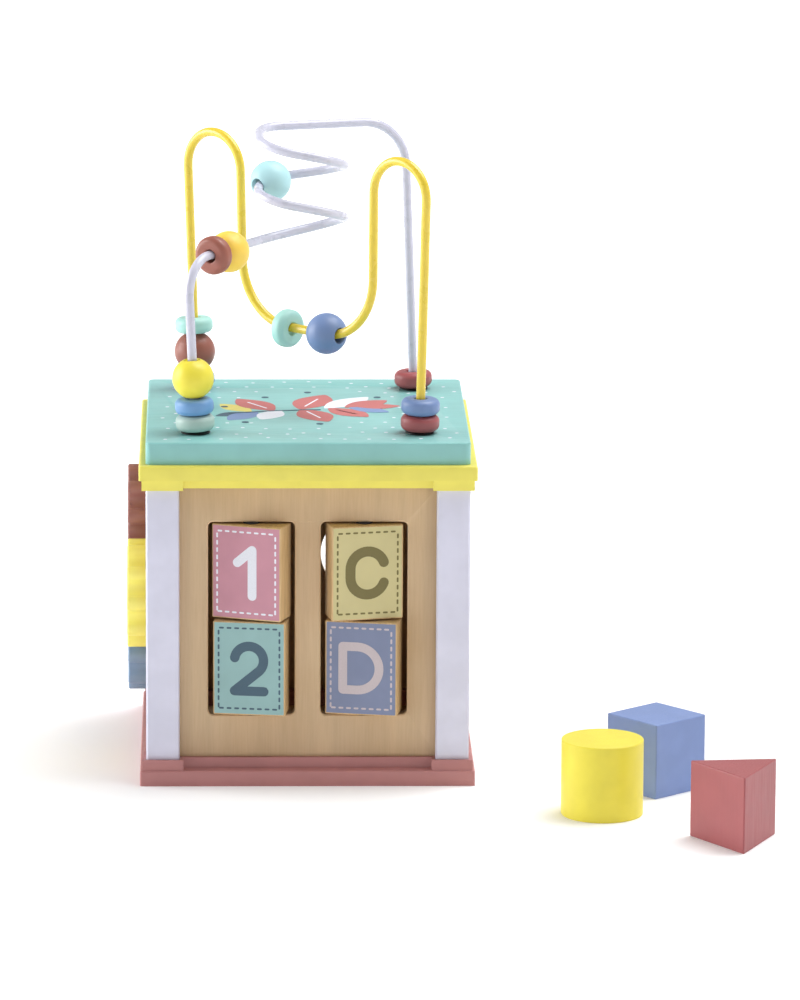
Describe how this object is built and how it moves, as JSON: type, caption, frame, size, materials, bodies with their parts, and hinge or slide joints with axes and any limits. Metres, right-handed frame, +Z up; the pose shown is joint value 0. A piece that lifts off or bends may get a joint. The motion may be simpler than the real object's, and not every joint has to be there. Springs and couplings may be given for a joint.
{
  "type": "wooden activity cube with shape sorter",
  "caption": "Wooden activity cube: bead maze on a lift-off lid, meshing gears, spinning picture blocks, shape sorter holes and loose shapes.",
  "frame": {"origin": "centre of the cube's footprint, on the surface it stands on", "axes": "+Z up, -Y towards the side with the spinning blocks, -X towards the gears, +Y towards the sorter holes"},
  "size_m": [0.3049, 0.2868, 0.3065],
  "materials": {
    "black_plastic": "satin",
    "blue_wood": "satin",
    "brown_wood": "satin",
    "mint_wood": "satin",
    "natural_wood": "satin",
    "olive_wood": "satin",
    "pink_wood": "satin",
    "plywood": "satin",
    "rose_base_wood": "satin",
    "rose_wood": "satin",
    "white_coated_wire": "satin",
    "white_wood": "satin",
    "yellow_coated_wire": "satin",
    "yellow_wood": "satin",
    "zinc_steel": "brushed"
  },
  "bodies": {
    "cube": {"base_frame": "rose_base_wood", "base_board": "plywood", "base_board_screws": "zinc_steel", "post_screws": "zinc_steel", "corner_post_front_left": "white_wood", "corner_post_front_right": "white_wood", "corner_post_back_left": "white_wood", "corner_post_back_right": "white_wood", "front_panel": "plywood", "left_panel": "plywood", "right_panel": "plywood", "back_panel": "plywood", "top_frame": "yellow_wood", "top_frame_screws": "zinc_steel", "block_rod_left": "zinc_steel", "block_rod_right": "zinc_steel", "block_washers": "black_plastic", "gear_pin_middle": "natural_wood", "gear_pin_upper": "natural_wood", "gear_pin_lower": "natural_wood", "gear_spacers": "natural_wood"},
    "lid_and_maze": {"lid": "mint_wood", "lid_locating_board": "plywood", "locating_board_screws": "zinc_steel", "bead_wire_yellow": "yellow_coated_wire", "bead_wire_white": "white_coated_wire", "wire_collars": "black_plastic", "wire_end_nuts": "zinc_steel"},
    "block_upper_left": {"block_upper_left": "pink_wood"},
    "block_lower_left": {"block_lower_left": "mint_wood"},
    "block_upper_right": {"block_upper_right": "olive_wood"},
    "block_lower_right": {"block_lower_right": "blue_wood"},
    "gear_middle": {"gear_middle": "yellow_wood"},
    "gear_upper": {"gear_upper": "brown_wood"},
    "gear_lower": {"gear_lower": "blue_wood"},
    "bead_front_left_disc_pale": {"bead_front_left_disc_pale": "mint_wood"},
    "bead_front_left_disc_blue": {"bead_front_left_disc_blue": "blue_wood"},
    "bead_front_left_ball_yellow": {"bead_front_left_ball_yellow": "yellow_wood"},
    "bead_back_left_disc_blue": {"bead_back_left_disc_blue": "blue_wood"},
    "bead_back_left_ball_plum": {"bead_back_left_ball_plum": "brown_wood"},
    "bead_back_left_disc_mint": {"bead_back_left_disc_mint": "mint_wood"},
    "bead_front_right_disc_rose": {"bead_front_right_disc_rose": "rose_wood"},
    "bead_front_right_disc_blue": {"bead_front_right_disc_blue": "blue_wood"},
    "bead_back_right_disc_rose": {"bead_back_right_disc_rose": "rose_wood"},
    "bead_low_disc_mint": {"bead_low_disc_mint": "mint_wood"},
    "bead_low_ball_blue": {"bead_low_ball_blue": "blue_wood"},
    "bead_run_disc_brown": {"bead_run_disc_brown": "brown_wood"},
    "bead_run_ball_yellow": {"bead_run_ball_yellow": "yellow_wood"},
    "bead_coil_ball_teal": {"bead_coil_ball_teal": "mint_wood"},
    "shape_cylinder": {"shape_cylinder": "yellow_wood"},
    "shape_square": {"shape_square": "blue_wood"},
    "shape_triangle": {"shape_triangle": "rose_wood"}
  },
  "joints": [
    {"name": "lid_lift", "type": "slide", "parent": "cube", "child": "lid_and_maze", "axis": [0, 0, 1], "range_m": [0, 0.06]},
    {"name": "block_upper_left_spin", "type": "hinge", "parent": "cube", "child": "block_upper_left", "pos_m": [-0.027, -0.068, 0.0805], "axis": [0, 0, 1], "continuous": true},
    {"name": "block_lower_left_spin", "type": "hinge", "parent": "cube", "child": "block_lower_left", "pos_m": [-0.027, -0.068, 0.0805], "axis": [0, 0, 1], "continuous": true},
    {"name": "block_upper_right_spin", "type": "hinge", "parent": "cube", "child": "block_upper_right", "pos_m": [0.027, -0.068, 0.0805], "axis": [0, 0, 1], "continuous": true},
    {"name": "block_lower_right_spin", "type": "hinge", "parent": "cube", "child": "block_lower_right", "pos_m": [0.027, -0.068, 0.0805], "axis": [0, 0, 1], "continuous": true},
    {"name": "gear_middle_spin", "type": "hinge", "parent": "cube", "child": "gear_middle", "pos_m": [-0.077, -0.02, 0.0815], "axis": [1, 0, 0], "continuous": true},
    {"name": "gear_upper_spin", "type": "hinge", "parent": "cube", "child": "gear_upper", "pos_m": [-0.077, 0.017, 0.1118], "axis": [1, 0, 0], "continuous": true},
    {"name": "gear_lower_spin", "type": "hinge", "parent": "cube", "child": "gear_lower", "pos_m": [-0.077, 0.017, 0.0512], "axis": [1, 0, 0], "continuous": true},
    {"name": "bead_front_left_disc_pale_slide", "type": "slide", "parent": "lid_and_maze", "child": "bead_front_left_disc_pale", "axis": [-0.0457, 0.0084, 0.9989], "range_m": [0, 0.004]},
    {"name": "bead_front_left_disc_blue_slide", "type": "slide", "parent": "bead_front_left_disc_pale", "child": "bead_front_left_disc_blue", "axis": [-0.0457, 0.0084, 0.9989], "range_m": [0, 0.006]},
    {"name": "bead_front_left_ball_yellow_slide", "type": "slide", "parent": "bead_front_left_disc_blue", "child": "bead_front_left_ball_yellow", "axis": [-0.0457, 0.0084, 0.9989], "range_m": [0, 0.016]},
    {"name": "bead_back_left_disc_blue_slide", "type": "slide", "parent": "lid_and_maze", "child": "bead_back_left_disc_blue", "axis": [-0.0346, 0.0346, 0.9988], "range_m": [0, 0.02]},
    {"name": "bead_back_left_ball_plum_slide", "type": "slide", "parent": "bead_back_left_disc_blue", "child": "bead_back_left_ball_plum", "axis": [-0.0346, 0.0346, 0.9988], "range_m": [0, 0.022]},
    {"name": "bead_back_left_disc_mint_slide", "type": "slide", "parent": "bead_back_left_ball_plum", "child": "bead_back_left_disc_mint", "axis": [-0.0346, 0.0346, 0.9988], "range_m": [0, 0.028]},
    {"name": "bead_front_right_disc_rose_slide", "type": "slide", "parent": "lid_and_maze", "child": "bead_front_right_disc_rose", "axis": [0.0215, -0.0215, 0.9995], "range_m": [0, 0.04]},
    {"name": "bead_front_right_disc_blue_slide", "type": "slide", "parent": "bead_front_right_disc_rose", "child": "bead_front_right_disc_blue", "axis": [0.0215, -0.0215, 0.9995], "range_m": [0, 0.05]},
    {"name": "bead_back_right_disc_rose_slide", "type": "slide", "parent": "lid_and_maze", "child": "bead_back_right_disc_rose", "axis": [-0.0386, -0.0201, 0.9991], "range_m": [0, 0.096]},
    {"name": "bead_low_disc_mint_climb", "type": "hinge", "parent": "lid_and_maze", "child": "bead_low_disc_mint", "pos_m": [-0.00909, 0.00909, 0.2386], "axis": [0.7071, 0.7071, 0], "range_deg": [0, 78]},
    {"name": "bead_low_ball_blue_climb", "type": "hinge", "parent": "lid_and_maze", "child": "bead_low_ball_blue", "pos_m": [0.0096, -0.0096, 0.2386], "axis": [-0.7071, -0.7071, 0], "range_deg": [0, 68]},
    {"name": "bead_run_disc_brown_slide", "type": "slide", "parent": "lid_and_maze", "child": "bead_run_disc_brown", "axis": [0.5435, 0.8393, 0.0138], "range_m": [0, 0.005]},
    {"name": "bead_run_ball_yellow_slide", "type": "slide", "parent": "bead_run_disc_brown", "child": "bead_run_ball_yellow", "axis": [0.5435, 0.8393, 0.0138], "range_m": [0, 0.009]},
    {"name": "bead_coil_ball_teal_travel", "type": "hinge", "parent": "lid_and_maze", "child": "bead_coil_ball_teal", "pos_m": [-0.00549, 0.00088, 0.27943], "axis": [0.1425, 0.0908, -0.9856], "range_deg": [0, 12]},
    {"name": "shape_cylinder_lift", "type": "slide", "parent": "cube", "child": "shape_cylinder", "axis": [0, 0, 1], "range_m": [0, 0.15]},
    {"name": "shape_square_lift", "type": "slide", "parent": "cube", "child": "shape_square", "axis": [0, 0, 1], "range_m": [0, 0.15]},
    {"name": "shape_triangle_lift", "type": "slide", "parent": "cube", "child": "shape_triangle", "axis": [0, 0, 1], "range_m": [0, 0.15]}
  ],
  "couplings": [
    {"joint": "gear_upper_spin", "follows": "gear_middle_spin", "ratio": -1},
    {"joint": "gear_lower_spin", "follows": "gear_middle_spin", "ratio": -1}
  ]
}
